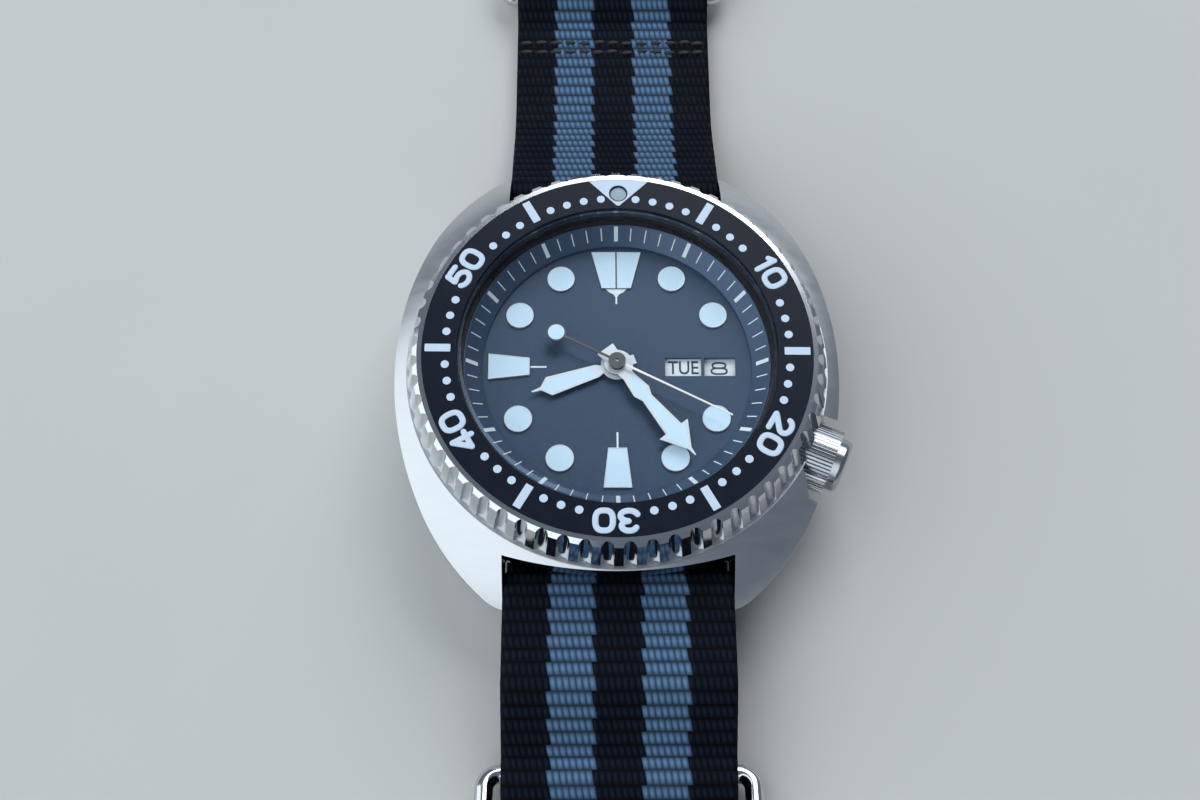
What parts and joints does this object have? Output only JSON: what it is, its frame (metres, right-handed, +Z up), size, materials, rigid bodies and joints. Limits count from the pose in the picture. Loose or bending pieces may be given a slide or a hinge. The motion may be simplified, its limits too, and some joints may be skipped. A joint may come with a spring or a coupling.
{
  "type": "dive watch",
  "caption": "Round dive watch with cushion case, turning bezel, day and date window, automatic movement and woven pull-through strap laid flat.",
  "frame": {"origin": "on the axis of the hands, in the plane that the strap rests on", "axes": "+Z up, out through the dial; +Y to 12 o'clock, along the strap; +X to 3 o'clock"},
  "size_m": [0.0456, 0.2724, 0.0155],
  "materials": {
    "brushed_case": "satin brushed top, polished flanks",
    "polished_steel": "polished",
    "black_insert": "satin black with pale numerals",
    "crystal": "clear, flat",
    "dial_grey": "satin charcoal",
    "lume": "matte pale luminous paint",
    "seal": "matte",
    "brass": "satin",
    "nickel": "fine grained",
    "spring_steel": "tempered",
    "jewel": "polished ruby red",
    "holder": "moulded",
    "white_disc": "matte white",
    "heavy_metal": "satin",
    "strap_weave": "woven, five equal stripes of black and blue-grey"
  },
  "bodies": {
    "watch": {"case_body": "brushed_case", "case_back": "brushed_case", "case_back_gasket": "seal", "bezel_click_spring": "spring_steel", "crystal": "crystal", "crystal_gasket": "seal", "chapter_ring": "dial_grey", "dial": "dial_grey", "hour_markers": "lume", "crown_tube": "polished_steel", "main_plate": "nickel", "jewels": "jewel", "train_bridge": "nickel", "balance_bridge": "nickel", "pallet_bridge": "nickel", "bridge_screws": "polished_steel", "movement_holder": "holder", "barrel_arbor": "polished_steel", "hairspring": "spring_steel", "rotor_axle": "polished_steel", "spring_bars": "polished_steel", "strap_main": "strap_weave", "strap_under": "strap_weave"},
    "turning_bezel": {"bezel": "polished_steel", "bezel_gasket": "seal", "bezel_insert": "black_insert", "bezel_pip": "dial_grey"},
    "clutch": {"sliding_clutch": "polished_steel", "winding_pinion": "polished_steel"},
    "crown_stem": {"crown": "polished_steel", "crown_gasket": "seal", "winding_stem": "polished_steel"},
    "lever": {"setting_lever": "polished_steel"},
    "seconds": {"fourth_wheel": "brass", "second_hand": "polished_steel", "second_hand_lume": "lume"},
    "minutes": {"center_wheel": "brass", "cannon_pinion": "brass", "minute_hand": "polished_steel", "minute_hand_lume": "lume"},
    "hours": {"hour_wheel": "brass", "hour_hand": "polished_steel", "hour_hand_lume": "lume"},
    "third": {"third_wheel": "brass"},
    "escape": {"escape_wheel": "brass"},
    "barrel": {"mainspring_barrel": "brass", "mainspring": "spring_steel"},
    "motion": {"minute_wheel": "brass"},
    "fork": {"pallet_fork": "polished_steel"},
    "balance": {"balance_wheel": "brass"},
    "date": {"date_disc": "white_disc"},
    "day": {"day_disc": "white_disc"},
    "weight": {"rotor": "heavy_metal"},
    "buckle": {"buckle_frame": "polished_steel"},
    "tongue": {"buckle_tongue": "polished_steel"},
    "ring_buckle": {"keeper_ring_buckle": "polished_steel"},
    "ring_middle": {"keeper_ring_middle": "polished_steel"},
    "ring_end": {"keeper_ring_end": "polished_steel"}
  },
  "joints": [
    {"name": "bezel_turn", "type": "hinge", "parent": "watch", "child": "turning_bezel", "pos_m": [0, 0, 0.0078], "axis": [0, 0, 1], "continuous": true},
    {"name": "crown_turn", "type": "hinge", "parent": "watch", "child": "clutch", "pos_m": [0, 0, 0.0078], "axis": [0.9205, -0.3907, 0], "continuous": true},
    {"name": "crown_pull", "type": "slide", "parent": "clutch", "child": "crown_stem", "axis": [0.9205, -0.3907, 0], "range_m": [0, 0.0012]},
    {"name": "lever_swing", "type": "hinge", "parent": "watch", "child": "lever", "pos_m": [0.01291, -0.00222, 0.0078], "axis": [0, 0, 1], "range_deg": [0, 23.1]},
    {"name": "seconds_turn", "type": "hinge", "parent": "watch", "child": "seconds", "pos_m": [0, 0, 0.0078], "axis": [0, 0, -1], "continuous": true},
    {"name": "third_turn", "type": "hinge", "parent": "watch", "child": "third", "pos_m": [0.00117, -0.00435, 0.0078], "axis": [0, 0, -1], "continuous": true},
    {"name": "minutes_turn", "type": "hinge", "parent": "watch", "child": "minutes", "pos_m": [0, 0, 0.0078], "axis": [0, 0, -1], "continuous": true},
    {"name": "hours_turn", "type": "hinge", "parent": "watch", "child": "hours", "pos_m": [0, 0, 0.0078], "axis": [0, 0, -1], "continuous": true},
    {"name": "motion_turn", "type": "hinge", "parent": "watch", "child": "motion", "pos_m": [-0.00221, -0.00155, 0.0078], "axis": [0, 0, -1], "continuous": true},
    {"name": "escape_turn", "type": "hinge", "parent": "watch", "child": "escape", "pos_m": [0.00318, 0.00318, 0.0078], "axis": [0, 0, -1], "continuous": true},
    {"name": "barrel_turn", "type": "hinge", "parent": "watch", "child": "barrel", "pos_m": [-0.00571, 0.00208, 0.0078], "axis": [0, 0, -1], "continuous": true},
    {"name": "fork_rock", "type": "hinge", "parent": "watch", "child": "fork", "pos_m": [0.00509, 0.00509, 0.0078], "axis": [0, 0, -1], "range_deg": [-5, 5]},
    {"name": "balance_swing", "type": "hinge", "parent": "watch", "child": "balance", "pos_m": [0.00679, 0.00679, 0.0078], "axis": [0, 0, -1], "range_deg": [-270, 270]},
    {"name": "date_turn", "type": "hinge", "parent": "watch", "child": "date", "pos_m": [0, 0, 0.0078], "axis": [0, 0, -1], "continuous": true},
    {"name": "day_turn", "type": "hinge", "parent": "watch", "child": "day", "pos_m": [0, 0, 0.0078], "axis": [0, 0, -1], "continuous": true},
    {"name": "weight_turn", "type": "hinge", "parent": "watch", "child": "weight", "pos_m": [0, 0, 0.0078], "axis": [0, 0, 1], "continuous": true},
    {"name": "buckle_swing", "type": "hinge", "parent": "watch", "child": "buckle", "pos_m": [0, 0.079, 0.00215], "axis": [1, 0, 0], "range_deg": [0, 70]},
    {"name": "tongue_swing", "type": "hinge", "parent": "buckle", "child": "tongue", "pos_m": [0, 0.079, 0.00215], "axis": [1, 0, 0], "range_deg": [0, 45]},
    {"name": "ring_buckle_swing", "type": "hinge", "parent": "watch", "child": "ring_buckle", "pos_m": [0, 0.067, 0.00215], "axis": [1, 0, 0], "range_deg": [0, 80]},
    {"name": "ring_middle_swing", "type": "hinge", "parent": "watch", "child": "ring_middle", "pos_m": [0, 0.0516, 0.00215], "axis": [1, 0, 0], "range_deg": [0, 80]},
    {"name": "ring_end_swing", "type": "hinge", "parent": "watch", "child": "ring_end", "pos_m": [0, -0.0384, 0.00215], "axis": [-1, 0, 0], "range_deg": [0, 70]}
  ],
  "couplings": [
    {"joint": "third_turn", "follows": "seconds_turn", "ratio": -0.13333},
    {"joint": "minutes_turn", "follows": "seconds_turn", "ratio": 0.016667},
    {"joint": "hours_turn", "follows": "seconds_turn", "ratio": 0.0013889},
    {"joint": "motion_turn", "follows": "seconds_turn", "ratio": -0.0055556},
    {"joint": "barrel_turn", "follows": "seconds_turn", "ratio": -0.0020833},
    {"joint": "escape_turn", "follows": "seconds_turn", "ratio": -12},
    {"joint": "lever_swing", "follows": "crown_pull", "rad_per_m": 335.6}
  ]
}
